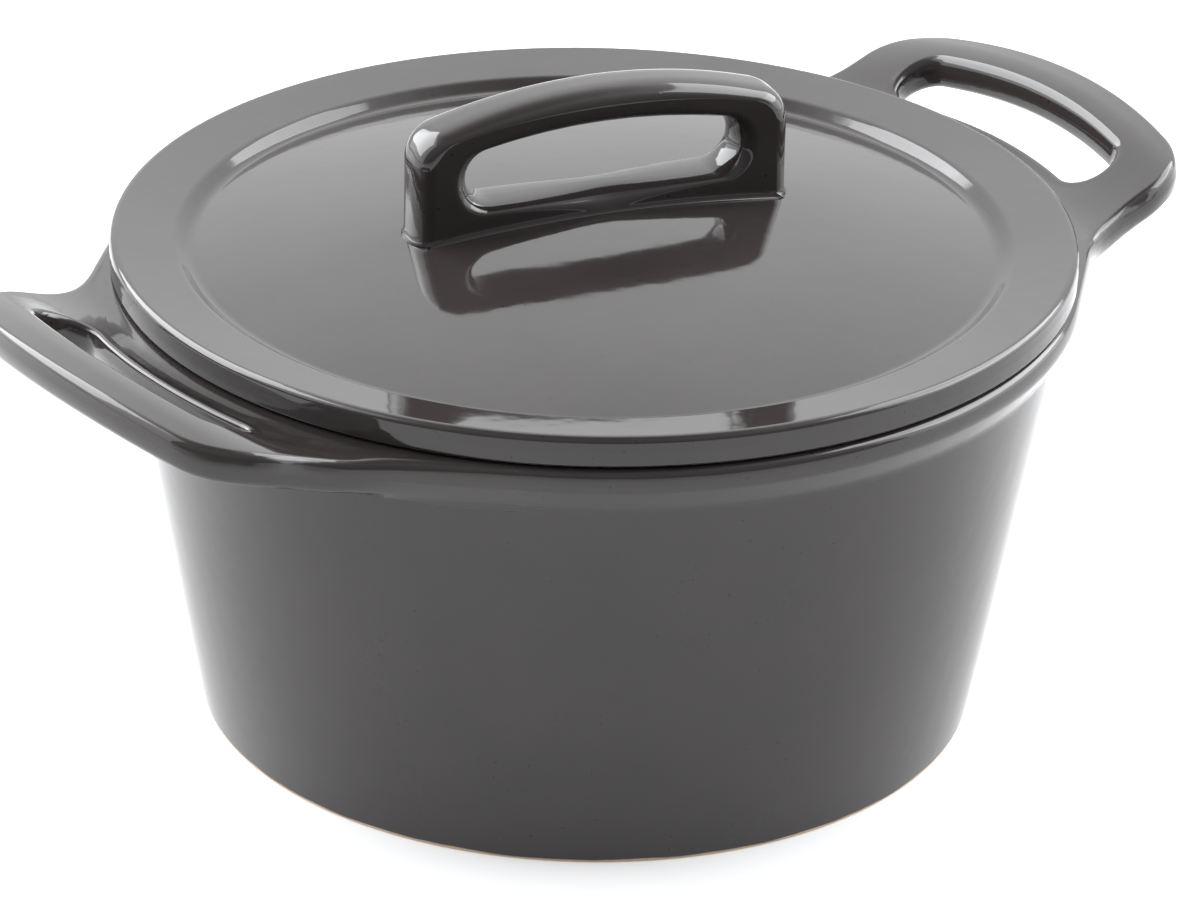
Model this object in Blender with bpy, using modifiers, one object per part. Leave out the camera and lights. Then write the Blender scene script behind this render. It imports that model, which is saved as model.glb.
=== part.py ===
"""Round stoneware dutch oven: a pot with two rising loop handles, a lift-off lid and its bridge grip.

Lengths are metres and Z is up. The origin is the middle of the base, and the side handles lie along X.
"""

import math

import bmesh
import bpy
from mathutils import Vector

# Pot: a turned bowl with a rolled rim
POT_HEIGHT = 0.1265  # base to the top of the rim
FOOT_RADIUS = 0.106  # outer wall carried down to the base
RIM_RADIUS = 0.131  # outside of the rim bead
BEAD_HEIGHT = 0.0130  # rim bead, top to bottom
BEAD_UNDERCUT = 0.0045  # how far the bead stands out from the wall under it
BEAD_ROUND = 0.0060
RIM_ROUND = 0.0045
LIP_ROUND = 0.0020  # inner edge of the rim
WALL = 0.0075
FLOOR_THICKNESS = 0.0075
COVE_RADIUS = 0.018  # bowl floor to bowl wall
FOOT_ROUND = 0.0012
FOOT_RING_WIDTH = 0.0110  # unglazed ring that the pot stands on
FOOT_RECESS = 0.0015
FOOT_RING_ROUND = 0.0005

# Side handles: loops that leave the rim bead and rise outwards
WEB_WIDTH = 0.0113  # rim to finger slot
SLOT_WIDTH = 0.0147
SLOT_LENGTH = 0.0830
SLOT_ROUNDNESS = 0.48  # corner radius as a share of the slot's width
BAR_WIDTH = 0.01585
ARM_WIDTH = 0.0201
ARM_CORNER = 0.0230
ROOT_FILLET = 0.0380  # hollow curve from an arm into its root
ROOT_FLARE = 0.0340  # how far outside its arm a root runs out along the rim
HANDLE_THICKNESS = 0.0098
HANDLE_ROUNDNESS = 0.32  # edge radius as a share of the thickness
HANDLE_RISE = 0.0148  # top of the bar over the top of the root
CORNER_DROP = 0.0066  # arched bar: its corners lie this far under its middle
CLIMB_RUN = 0.0345  # rim to where the bar lies level
CLIMB_CENTRE = 0.0570  # level lines curve round a point this far behind the pot's axis
HANDLE_SET = 0.0006  # top of the handle's root below the rim top
ROOT_DEPTH = 0.0060  # how far the handle's root runs into the bead
ROOT_BITE = 0.0015  # how far the end of a root runs into the bead

# Lid: a border round a low dome, with a spigot that drops into the pot
LID_SETBACK = 0.0010  # lid edge inside the rim's outside
LID_EDGE = 0.0087  # border thickness at its outer edge
LID_ROUND = 0.0022
LID_LOWER_ROUND = 0.0015
BORDER_WIDTH = 0.0175
BORDER_FALL = 0.0021  # border slopes down towards the dome
BORDER_ROUND = 0.0040
STEP_WIDTH = 0.0040  # border's inner edge to the bottom of the valley
VALLEY_ROUND = 0.0035
DOME_TOP = 0.0167  # dome centre above the lid's seat
DOME_RADIUS = 0.443
LID_THICKNESS = 0.0070
SPIGOT_PLAY = 0.0015  # between the spigot and the pot's mouth
SPIGOT_DEPTH = 0.0075
SPIGOT_WIDTH = 0.0060
SPIGOT_ROUND = 0.0018
SPIGOT_DRAFT = 0.0005

# Bridge grip on the lid
GRIP_LENGTH = 0.1050
GRIP_THICKNESS = 0.0175
GRIP_HEIGHT = 0.0350  # above the dome centre
GRIP_ARCH = 0.152  # radius of the arched top
GRIP_CORNER = 0.0100
GRIP_ROUNDNESS = 0.48  # edge radius as a share of the crown's depth
GRIP_CHEEK = 0.0068  # reach of the rounded edges into the front and back faces
GRIP_SILL = 0.0062  # dome centre to the finger slot
GRIP_SLOT_LENGTH = 0.0772
GRIP_SLOT_HEIGHT = 0.0192
GRIP_SLOT_ARCH = 0.210
GRIP_SLOT_ROUND = 0.0086
GRIP_ROOT = 0.0130  # blank below the dome centre that the saddle cut takes off
LID_TURN = math.radians(-15.1)  # the loose lid as it happens to lie

SEAT_GAP = 0.0003  # between pieces that rest on each other
GLAZE_COLOUR = (0.033, 0.030, 0.029)

# Fineness of the facets
TURN_STEPS = 64
ARC_STEP = math.radians(30)
DOME_STEPS = 6
BAR_STEPS = 4  # half of a handle's bar, and of its web
ARM_STEPS = 20  # one side handle's arm, corner and root fillet
UPRIGHT_STEPS = 12  # one end of the grip

NECK_HEIGHT = POT_HEIGHT - BEAD_HEIGHT
NECK_RADIUS = RIM_RADIUS - BEAD_UNDERCUT
WALL_SLOPE = (NECK_RADIUS - FOOT_RADIUS) / NECK_HEIGHT
WALL_ACROSS = WALL * math.hypot(1.0, WALL_SLOPE)
FLOOR_TOP = FOOT_RECESS + FLOOR_THICKNESS
MOUTH_RADIUS = NECK_RADIUS + WALL_SLOPE * BEAD_HEIGHT - WALL_ACROSS
LID_RADIUS = RIM_RADIUS - LID_SETBACK
LID_SEAT = POT_HEIGHT + SEAT_GAP
SLOT_CORNER = SLOT_ROUNDNESS * SLOT_WIDTH
ARM_REACH = SLOT_LENGTH / 2.0 + ARM_WIDTH  # mirror line of a handle to the outside of its arm
HANDLE_EDGE = HANDLE_ROUNDNESS * HANDLE_THICKNESS
GRIP_EDGE = GRIP_ROUNDNESS * (GRIP_HEIGHT - GRIP_SILL - GRIP_SLOT_HEIGHT)


def start_scene():
    """Empties the scene and returns the collections for the pieces and for their helpers."""
    for old in list(bpy.data.objects):
        bpy.data.objects.remove(old, do_unlink=True)
    made = []
    for name in ("round_dutch_oven", "helpers"):
        collection = bpy.data.collections.new(name)
        bpy.context.scene.collection.children.link(collection)
        made.append(collection)
    return made


def glaze(name, colour, roughness):
    material = bpy.data.materials.new(name)
    material.use_nodes = True
    shader = material.node_tree.nodes["Principled BSDF"]
    shader.inputs["Base Color"].default_value = (*colour, 1.0)
    shader.inputs["Roughness"].default_value = roughness
    shader.inputs["Metallic"].default_value = 0.0
    shader.inputs["Coat Weight"].default_value = 0.6
    return material


def ease(share):
    """Smooth step from 0 to 1."""
    share = min(max(share, 0.0), 1.0)
    return share * share * (3.0 - 2.0 * share)


def arc(centre, radius, start, end):
    """Points on a circle from one angle to another, ends included."""
    steps = max(2, round(abs(end - start) / ARC_STEP))
    angles = [start + (end - start) * i / steps for i in range(steps + 1)]
    return [Vector((centre[0] + radius * math.cos(a), centre[1] + radius * math.sin(a))) for a in angles]


def rounded(corners):
    """A path through corners (x, y, radius): each inner corner is rounded by its radius."""
    path = [Vector(corners[0][:2])]
    for before, corner, after in zip(corners, corners[1:], corners[2:]):
        point = Vector(corner[:2])
        back = (Vector(before[:2]) - point).normalized()
        ahead = (Vector(after[:2]) - point).normalized()
        half = back.angle(ahead) / 2.0
        centre = point + (back + ahead).normalized() * corner[2] / math.sin(half)
        first = point + back * corner[2] / math.tan(half) - centre
        turn = math.copysign(math.pi - 2.0 * half, -back.cross(ahead))
        start = math.atan2(first.y, first.x)
        path += arc(centre, corner[2], start, start + turn)
    path.append(Vector(corners[-1][:2]))
    return path


def spread(path, count):
    """The path as count + 1 points at even distances along it."""
    lengths = [0.0]
    for a, b in zip(path, path[1:]):
        lengths.append(lengths[-1] + (b - a).length)
    points = []
    span = 0
    for i in range(count + 1):
        want = lengths[-1] * i / count
        while span < len(path) - 2 and lengths[span + 1] < want:
            span += 1
        share = (want - lengths[span]) / (lengths[span + 1] - lengths[span])
        points.append(path[span].lerp(path[span + 1], share))
    return points


def place(name, mesh, collection, material=None, helper=False):
    obj = bpy.data.objects.new(name, mesh)
    collection.objects.link(obj)
    if material:
        mesh.materials.append(material)
    if helper:
        obj.hide_render = True
        obj.display_type = "WIRE"
    return obj


def turned(name, profile, collection, material=None, helper=False):
    """A solid of revolution about Z. The profile of (radius, height) runs down the solid's outer side."""
    mesh = bpy.data.meshes.new(name)
    points = [(p[0], 0.0, p[1]) for p in profile]
    mesh.from_pydata(points, [(i, i + 1) for i in range(len(points) - 1)], [])
    obj = place(name, mesh, collection, material, helper)
    screw = obj.modifiers.new("Turn", "SCREW")
    screw.steps = TURN_STEPS
    screw.render_steps = TURN_STEPS
    screw.use_merge_vertices = True
    screw.merge_threshold = 1e-5
    screw.use_smooth_shade = True
    return obj


def join_or_cut(obj, other, operation):
    boolean = obj.modifiers.new(other.name, "BOOLEAN")
    boolean.operation = operation
    boolean.solver = "EXACT"
    boolean.object = other


def bar_section(width, thickness, edge, cheek):
    """A closed outline with rounded edges: distance from the slot, and height over the middle plane.

    The rounding reaches by edge along the plate and by cheek into its thickness.
    """
    low, high = cheek - thickness / 2.0, thickness / 2.0 - cheek
    quarter = math.pi / 2.0
    points = []
    corners = ((width - edge, low, -1), (width - edge, high, 0), (edge, high, 1), (edge, low, 2))
    for across, up, turn in corners:
        for p in arc((0.0, 0.0), 1.0, turn * quarter, (turn + 1) * quarter):
            points.append(Vector((across + edge * p.x, up + cheek * p.y)))
        if turn in (0, 2):
            points.append(Vector((width / 2.0, math.copysign(thickness / 2.0, up))))
    return points


def loop_handle(name, slot, rim, thickness, edge, cheek, lift):
    """A plate round a slot, lofted from the slot's outline to the outer outline.

    The two outlines are half outlines of equal length that start and end on the plate's mirror line.
    lift turns a point of the plate, given by its plan and its height over the middle plane, into space.
    """
    pairs = list(zip(slot, rim))
    pairs += [(Vector((s.x, -s.y)), Vector((r.x, -r.y))) for s, r in reversed(pairs[1:-1])]
    bm = bmesh.new()
    rings = []
    for inner, outer in pairs:
        along = outer - inner
        section = bar_section(along.length, thickness, edge, cheek)
        along.normalize()
        rings.append([bm.verts.new(lift(inner + along * p.x, p.y)) for p in section])
    for ring, following in zip(rings, rings[1:] + rings[:1]):
        for i in range(len(ring)):
            j = (i + 1) % len(ring)
            bm.faces.new((ring[i], ring[j], following[j], following[i]))
    bmesh.ops.recalc_face_normals(bm, faces=bm.faces)
    mesh = bpy.data.meshes.new(name)
    bm.to_mesh(mesh)
    bm.free()
    mesh.shade_smooth()
    return mesh


def pot_profile():
    inner_floor = FOOT_RADIUS + WALL_SLOPE * FLOOR_TOP - WALL_ACROSS
    ring_inside = FOOT_RADIUS - FOOT_RING_WIDTH
    return rounded([
        (0.0, FLOOR_TOP),
        (inner_floor, FLOOR_TOP, COVE_RADIUS),
        (MOUTH_RADIUS, POT_HEIGHT, LIP_ROUND),
        (RIM_RADIUS, POT_HEIGHT, RIM_ROUND),
        (RIM_RADIUS, NECK_HEIGHT + BEAD_UNDERCUT, BEAD_ROUND),
        (NECK_RADIUS, NECK_HEIGHT, BEAD_ROUND),
        (FOOT_RADIUS, 0.0, FOOT_ROUND),
        (ring_inside, 0.0, FOOT_RING_ROUND),
        (ring_inside - FOOT_RECESS, FOOT_RECESS, FOOT_RING_ROUND),
        (0.0, FOOT_RECESS),
    ])


def side_handle_outlines():
    """Half outlines in plan, from the middle of the bar round one arm to the middle of the web."""
    near = RIM_RADIUS + WEB_WIDTH
    far = near + SLOT_WIDTH
    reach = far + BAR_WIDTH
    slot_half = SLOT_LENGTH / 2.0
    bite = RIM_RADIUS - ROOT_BITE

    def corner(distance, across):
        """Centre of a corner that lies this far from the pot's axis and this far from the mirror line."""
        centre = Vector((math.sqrt(distance**2 - across**2), across))
        return centre, math.atan2(centre.y, centre.x)

    square = math.pi / 2.0
    slot_far, far_turn = corner(far - SLOT_CORNER, slot_half - SLOT_CORNER)
    slot_near, near_turn = corner(near + SLOT_CORNER, slot_half - SLOT_CORNER)
    shoulder, shoulder_turn = corner(reach - ARM_CORNER, ARM_REACH - ARM_CORNER)
    root, root_turn = corner(bite, ARM_REACH + ROOT_FLARE)
    bend = root.x + ROOT_FLARE * math.tan(root_turn)  # where the root's tangent to the rim meets the arm
    axis = (0.0, 0.0)
    slot_end = arc(slot_far, SLOT_CORNER, far_turn, square)
    slot_end += arc(slot_near, SLOT_CORNER, square, math.pi + near_turn)
    arm_side = arc(shoulder, ARM_CORNER, shoulder_turn, square)
    arm_side += rounded([(shoulder.x, ARM_REACH), (bend, ARM_REACH, ROOT_FILLET), root])
    stretches = (
        (arc(axis, far, 0.0, far_turn), arc(axis, reach, 0.0, shoulder_turn), BAR_STEPS),
        (slot_end, arm_side, ARM_STEPS),
        (arc(axis, near, near_turn, 0.0), arc(axis, RIM_RADIUS - ROOT_DEPTH, root_turn, 0.0), BAR_STEPS),
    )
    return matched(stretches)


def matched(stretches):
    """Pairs of outlines in step: each stretch of both gets the same count of points."""
    slot, rim = [], []
    for inner, outer, count in stretches:
        slot += spread(inner, count)[1 if slot else 0:]
        rim += spread(outer, count)[1 if rim else 0:]
    return slot, rim


def side_handle_mesh():
    """The handle leaves the rim level, climbs, and is level again across the arched bar."""
    slot, rim = side_handle_outlines()
    root_middle = POT_HEIGHT - HANDLE_SET - HANDLE_THICKNESS / 2.0

    def lift(plan, height):
        distance = math.hypot(plan.x + CLIMB_CENTRE, plan.y) - CLIMB_CENTRE
        rise = HANDLE_RISE - CORNER_DROP * (plan.y / ARM_REACH) ** 2
        climb = rise * ease((distance - RIM_RADIUS) / CLIMB_RUN)
        return plan.x, plan.y, root_middle + climb + height

    return loop_handle("side_handle", slot, rim, HANDLE_THICKNESS, HANDLE_EDGE, HANDLE_EDGE, lift)


def dome_arc(top, radius, edge):
    """Points of a dome from its centre out to the radius given by edge."""
    widest = math.asin(edge / radius)
    turns = [widest * i / DOME_STEPS for i in range(DOME_STEPS + 1)]
    return [(radius * math.sin(a), top - radius * (1.0 - math.cos(a))) for a in turns]


def lid_profile():
    """Heights are over the lid's seat, the flat underside of its border."""
    border_inside = LID_RADIUS - BORDER_WIDTH
    valley = border_inside - STEP_WIDTH
    outside = dome_arc(DOME_TOP, DOME_RADIUS, valley)
    spigot = MOUTH_RADIUS - SPIGOT_PLAY
    spigot_inside = spigot - SPIGOT_WIDTH
    under = dome_arc(DOME_TOP - LID_THICKNESS, DOME_RADIUS - LID_THICKNESS, valley - LID_THICKNESS / 2.0)
    rim = rounded([
        outside[-2],
        (*outside[-1], VALLEY_ROUND),
        (border_inside, LID_EDGE - BORDER_FALL, BORDER_ROUND),
        (LID_RADIUS, LID_EDGE, LID_ROUND),
        (LID_RADIUS, 0.0, LID_LOWER_ROUND),
        (spigot, 0.0, SPIGOT_DRAFT),
        (spigot - SPIGOT_DRAFT, -SPIGOT_DEPTH, SPIGOT_ROUND),
        (spigot_inside, -SPIGOT_DEPTH, SPIGOT_ROUND),
        under[-1],
    ])
    return outside[:-2] + rim + under[-2::-1]


def grip_mesh():
    """The bridge grip as a plate standing on edge: its plan is (height over the dome centre, length)."""
    half = GRIP_LENGTH / 2.0
    slot_half = GRIP_SLOT_LENGTH / 2.0
    ceiling = GRIP_SILL + GRIP_SLOT_HEIGHT
    square = math.pi / 2.0

    def arch(top, radius, end, corner):
        """Arched top of the given radius, rounded into a straight end."""
        middle = Vector((top - radius, 0.0))
        across = end - corner
        centre = middle + Vector((math.sqrt((radius - corner) ** 2 - across**2), across))
        turn = math.asin(across / (radius - corner))
        return arc(middle, radius, 0.0, turn), arc(centre, corner, turn, square)

    crown, crown_corner = arch(GRIP_HEIGHT, GRIP_ARCH, half, GRIP_CORNER)
    roof, roof_corner = arch(ceiling, GRIP_SLOT_ARCH, slot_half, GRIP_SLOT_ROUND)
    sill_corner = (GRIP_SILL + GRIP_SLOT_ROUND, slot_half - GRIP_SLOT_ROUND)
    sill = [Vector((GRIP_SILL, sill_corner[1])), Vector((GRIP_SILL, 0.0))]
    foot = [Vector((-GRIP_ROOT, half)), Vector((-GRIP_ROOT, 0.0))]
    slot_end = roof_corner + arc(sill_corner, GRIP_SLOT_ROUND, square, math.pi)
    slot, rim = matched((
        (roof, crown, BAR_STEPS),
        (slot_end, crown_corner + foot[:1], UPRIGHT_STEPS),
        (sill, foot, BAR_STEPS),
    ))

    def lift(plan, height):
        return plan.y, height, DOME_TOP + plan.x

    return loop_handle("lid_handle", slot, rim, GRIP_THICKNESS, GRIP_EDGE, GRIP_CHEEK, lift)


def saddle_profile():
    """The dome with the seat gap on it, closed below, to cut the foot of the grip."""
    edge = GRIP_LENGTH
    dome = dome_arc(DOME_TOP + SEAT_GAP, DOME_RADIUS + SEAT_GAP, edge)
    below = DOME_TOP - 2.0 * GRIP_ROOT
    return dome + [(edge, below), (0.0, below)]


def build():
    pieces, helpers = start_scene()
    pot = turned("pot", pot_profile(), pieces, glaze("pot_glaze", GLAZE_COLOUR, 0.12))
    handle_mesh = side_handle_mesh()
    for side, turn in (("right", 0.0), ("left", math.pi)):
        handle = place(f"{side}_handle_blank", handle_mesh, helpers, helper=True)
        handle.rotation_euler.z = turn
        handle.parent = pot
        join_or_cut(pot, handle, "UNION")

    lid = turned("lid", lid_profile(), pieces, glaze("lid_glaze", GLAZE_COLOUR, 0.10))
    lid.location.z = LID_SEAT
    lid.rotation_euler.z = LID_TURN

    grip = place("lid_handle", grip_mesh(), pieces, glaze("grip_glaze", GLAZE_COLOUR, 0.08))
    grip.parent = lid
    saddle = turned("saddle_cutter", saddle_profile(), helpers, helper=True)
    saddle.parent = lid
    join_or_cut(grip, saddle, "DIFFERENCE")


build()
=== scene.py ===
"""Round dutch oven in dark glazed stoneware: the looks of its pot, lid and grip on the packed frame."""

import math

import bmesh
import bpy
from mathutils import Matrix, Vector


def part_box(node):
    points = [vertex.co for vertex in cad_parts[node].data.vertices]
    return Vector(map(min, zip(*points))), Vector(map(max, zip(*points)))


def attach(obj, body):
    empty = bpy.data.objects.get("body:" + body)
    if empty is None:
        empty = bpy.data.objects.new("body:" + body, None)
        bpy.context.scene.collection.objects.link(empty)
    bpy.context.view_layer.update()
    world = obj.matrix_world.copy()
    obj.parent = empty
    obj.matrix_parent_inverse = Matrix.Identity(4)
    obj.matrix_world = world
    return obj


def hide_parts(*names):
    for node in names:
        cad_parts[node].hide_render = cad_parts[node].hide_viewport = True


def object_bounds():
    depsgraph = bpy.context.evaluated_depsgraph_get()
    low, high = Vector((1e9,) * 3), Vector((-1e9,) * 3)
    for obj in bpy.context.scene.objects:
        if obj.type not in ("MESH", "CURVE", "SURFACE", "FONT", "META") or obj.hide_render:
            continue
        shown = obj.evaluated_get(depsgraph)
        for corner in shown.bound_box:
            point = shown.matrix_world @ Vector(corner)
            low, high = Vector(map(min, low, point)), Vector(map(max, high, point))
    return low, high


bl_info = {
    "name": "Round Dutch Oven",
    "version": (1, 0, 0),
    "blender": (4, 5, 0),
    "location": "View3D > Sidebar > Dutch Oven",
    "description": "Builds a glazed stoneware dutch oven and the stage it stands on",
    "category": "Object",
}

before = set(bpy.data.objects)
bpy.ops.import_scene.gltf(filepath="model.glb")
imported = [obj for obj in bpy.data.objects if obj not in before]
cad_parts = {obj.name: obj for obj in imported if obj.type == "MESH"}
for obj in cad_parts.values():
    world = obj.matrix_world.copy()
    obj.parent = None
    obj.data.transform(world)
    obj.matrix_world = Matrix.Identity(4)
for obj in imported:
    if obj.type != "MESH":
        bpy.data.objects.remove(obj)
CAD_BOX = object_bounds()
POT_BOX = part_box("pot")
LID_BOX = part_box("lid")

IMAGE_WIDTH = 1200  # pixels, the frame in which the camera was solved
SENSOR = 36.0  # millimetres
FINE_ARC = math.radians(6)  # one step of a rounded edge
OUTLINE_ARC = math.radians(2)  # one step of an outline's arc
LONGEST_STEP = 0.007  # one step along a straight stretch
POT_STEP = 0.003  # the same on the pot, whose bead turns into the handles' edges
POT_TURN = math.radians(2.5)  # one step round the pot between its handles
LID_STEPS = 144  # round the lid
RIM_CORNER, NECK_CORNER = 2, 5  # rounded corners of the pot's profile between which the handles grow
ON_AXIS = 1e-9  # distance under which a point counts as lying on the axis
FOLD = 0.2  # cosine between two faces under which they count as folded
RELAX_ROUNDS, RELAX_SHARE = 30, 0.5  # most rounds of evening out, and how far a point moves in one


def length(name, description, default):
    return bpy.props.FloatProperty(
        name=name, description=description, default=default, unit="LENGTH", precision=4
    )


def angle(name, description, degrees):
    return bpy.props.FloatProperty(
        name=name, description=description, default=math.radians(degrees), subtype="ANGLE"
    )


def colour(name, description, default):
    return bpy.props.FloatVectorProperty(
        name=name, description=description, default=default, size=3, subtype="COLOR", min=0.0, max=1.0
    )


def number(name, description, default):
    return bpy.props.FloatProperty(name=name, description=description, default=default)


class PotSizes(bpy.types.PropertyGroup):
    """Sizes of the turned pot."""

    rim_radius: length("Rim radius", "Outside of the rim bead", POT_BOX[1].y)
    height: length("Height", "Base to the top of the rim", 0.1265)
    foot_radius: length("Foot radius", "Outer wall carried down to the base", 0.106)
    bead_height: length("Bead height", "Rim bead, top to bottom", 0.013)
    bead_undercut: length("Bead undercut", "How far the bead stands out from the wall", 0.0045)
    bead_slope: length("Bead slope", "Height of the slope under the bead", 0.0075)
    bead_round: length("Bead rounding", "Lower edge of the bead", 0.005)
    neck_round: length("Neck rounding", "Hollow under the bead", 0.009)
    rim_round: length("Rim rounding", "Outer upper edge of the rim", 0.0025)
    rim_lean: length("Rim lean", "How far the upper half of the bead leans inwards", 0.0008)
    rim_lean_height: length("Rim lean height", "Height of that half", 0.0030)
    rim_lean_round: length("Rim lean rounding", "Widest line of the bead", 0.008)
    lip_round: length("Lip rounding", "Inner edge of the rim", 0.002)
    wall: length("Wall", "Wall thickness", 0.0075)
    floor: length("Floor", "Floor thickness", 0.0075)
    cove: length("Cove", "Inner rounding from floor to wall", 0.018)
    foot_round: length("Foot rounding", "Outer edge of the foot", 0.0012)
    foot_ring: length("Foot ring", "Width of the bare ring that the pot stands on", 0.011)
    foot_recess: length("Foot recess", "Depth of the base inside the ring", 0.0015)
    foot_ring_round: length("Ring rounding", "Edges inside the foot ring", 0.0005)


class HandleSizes(bpy.types.PropertyGroup):
    """Sizes of the two loop handles on the rim."""

    web: length("Web", "Rim to finger slot", 0.0113)
    slot_width: length("Slot width", "Finger slot, across", 0.0147)
    slot_length: length("Slot length", "Finger slot, along", 0.083)
    slot_corner: length("Slot corner", "Corner radius of the slot", 0.0071)
    reach: length("Reach", "Pot axis to the outside of the bar", POT_BOX[1].x)
    arm: length("Arm", "Width of an arm", 0.0201)
    arm_corner: length("Arm corner", "Outer corner from arm to bar", 0.023)
    root_fillet: length("Root fillet", "Hollow curve from an arm into its root", 0.038)
    root_flare: length("Root flare", "How far outside its arm a root runs out along the rim", 0.034)
    root_fade: length("Root fade", "From the rim to where an arm's edge starts to turn into the bead", 0.016)
    thickness: length("Thickness", "Thickness of the loop", 0.0098)
    edge: length("Edge", "Width of the loop's shaped edges", 0.0042)
    edge_round: length("Edge rounding", "Upper edges of the loop", 0.0020)
    edge_lean: length("Edge lean", "How far the upper half of an edge leans inwards", 0.0010)
    edge_lean_height: length("Edge lean height", "Height of that half", 0.0042)
    edge_lean_round: length("Edge lean rounding", "Outermost line of an edge", 0.008)
    edge_low_round: length("Lower edge rounding", "Lower edges of the loop", 0.0034)
    rise: length("Rise", "Middle of the bar over the handle's root", 0.0148)
    corner_drop: length("Corner drop", "Corners of the arched bar under its middle", 0.0066)
    climb_run: length("Climb", "Rim to where the bar lies level", 0.0345)
    climb_centre: length("Climb centre", "Level lines curve round a point this far behind the axis", 0.057)
    drop: length("Set", "Top of the handle's root below the rim", 0.0006)
    blend: length("Blend", "Width of the hollow where handle and bead run together", 0.006)


class LidSizes(bpy.types.PropertyGroup):
    """Sizes of the lid."""

    radius: length("Radius", "Outside of the border", LID_BOX[1].y)
    seat: length("Seat", "Height of the border's underside", 0.1268)
    edge: length("Edge", "Border thickness at its outside", 0.0087)
    edge_round: length("Edge rounding", "Upper outer edge", 0.0018)
    edge_lean: length("Edge lean", "How far the upper half of the edge leans inwards", 0.0003)
    edge_lean_height: length("Edge lean height", "Height of that half", 0.0044)
    edge_lean_round: length("Edge lean rounding", "Widest line of the edge", 0.010)
    lower_round: length("Lower rounding", "Lower outer edge", 0.0015)
    border: length("Border", "Width of the border", 0.0175)
    border_fall: length("Border fall", "Slope of the border towards the dome", 0.0026)
    border_round: length("Border rounding", "Inner edge of the border", 0.004)
    step: length("Step", "Border's inner edge to the bottom of the valley", 0.004)
    valley_round: length("Valley rounding", "Bottom of the valley", 0.0035)
    dome_top: length("Dome", "Dome centre above the seat", 0.0167)
    dome_radius: length("Dome radius", "Sphere radius of the dome", 0.443)
    thickness: length("Thickness", "Thickness of the dome", 0.007)
    spigot: length("Spigot", "Outside of the locating ring under the lid", 0.1197)
    spigot_depth: length("Spigot depth", "Depth of that ring", 0.0075)
    spigot_width: length("Spigot width", "Thickness of that ring", 0.006)
    spigot_round: length("Spigot rounding", "Lower edges of that ring", 0.0018)
    turn: angle("Turn", "How the loose lid happens to lie", -15.1)


class GripSizes(bpy.types.PropertyGroup):
    """Sizes of the bridge grip on the lid."""

    length: length("Length", "End to end", 0.107)
    thickness: length("Thickness", "Front to back", 0.0170)
    height: length("Height", "Top above the dome centre", 0.035)
    arch: length("Arch", "Radius of the arched top", 0.157)
    corner: length("Corner", "Upper end corners", 0.010)
    edge: length("Edge", "Depth of the rounded edges", 0.0046)
    cheek: length("Cheek", "Reach of the rounded edges into the front and back faces", 0.0068)
    slot_edge: length("Slot edge", "Depth of the rounded edges round the finger slot", 0.0052)
    slot_flat: length("Slot flat", "Half width of the flat left between those edges", 0.0003)
    sill: length("Sill", "Dome centre to the finger slot", 0.0060)
    slot_length: length("Slot length", "Finger slot, along", 0.0772)
    slot_height: length("Slot height", "Finger slot, upright", 0.01795)
    slot_arch: length("Slot arch", "Radius of the slot's roof", 0.210)
    slot_round: length("Slot rounding", "Corner radius of the slot", 0.0077)
    sink: length("Sink", "How far the grip's foot is sunk into the dome", 0.0002)
    flare: length("Flare", "Glaze gathered round the foot, outwards", 0.0012)
    flare_height: length("Flare height", "Glaze gathered round the foot, upwards", 0.0022)


class GlazeLook(bpy.types.PropertyGroup):
    """Colours of the glaze and the bare clay."""

    body: colour("Glaze", "Warm dark grey of the glaze", (0.0235, 0.0198, 0.0190))
    speck: colour("Speck", "Iron specks in the glaze", (0.008, 0.007, 0.007))
    clay: colour("Clay", "Bare clay of the foot ring", (0.46, 0.36, 0.26))
    gloss: number("Roughness", "Roughness of the glaze", 0.07)


class StageLook(bpy.types.PropertyGroup):
    """Camera, floor and light."""

    focal: number("Focal length", "In pixels of an image 1200 wide", 6109.8)
    elevation: angle("Elevation", "Camera looking down", 25.921)
    roll: angle("Roll", "Camera turned about its own axis", -1.3075)
    yaw: angle("Yaw", "Camera turned about the upright", 0.1059)
    azimuth: angle("Azimuth", "Side handles turned from the picture plane", 37.9)
    distance: length("Distance", "Level distance of the camera from the pot's axis", 1.5)
    camera_height: length("Camera height", "Camera above the floor", 0.79744)
    floor: colour("Floor", "Pale floor", (0.48, 0.48, 0.48))
    floor_glow: number("Floor glow", "Light that shines up through the white floor", 0.44)
    tint: colour("Tint", "Cool white of the light", (0.965, 0.98, 1.0))
    front_light: number("Front light", "Share of the light that comes from the camera's side", 0.2)
    light_distance: length("Light distance", "Softboxes to the object", 1.7)


def ease(share):
    """Smooth step from 0 to 1."""
    share = min(max(share, 0.0), 1.0)
    return share * share * (3.0 - 2.0 * share)


def arc(centre, radius, start, end, step=OUTLINE_ARC):
    """Points on a circle from one angle to another, ends included."""
    steps = max(3, round(abs(end - start) / step))
    turns = [start + (end - start) * i / steps for i in range(steps + 1)]
    return [Vector((centre[0] + radius * math.cos(a), centre[1] + radius * math.sin(a))) for a in turns]


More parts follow.
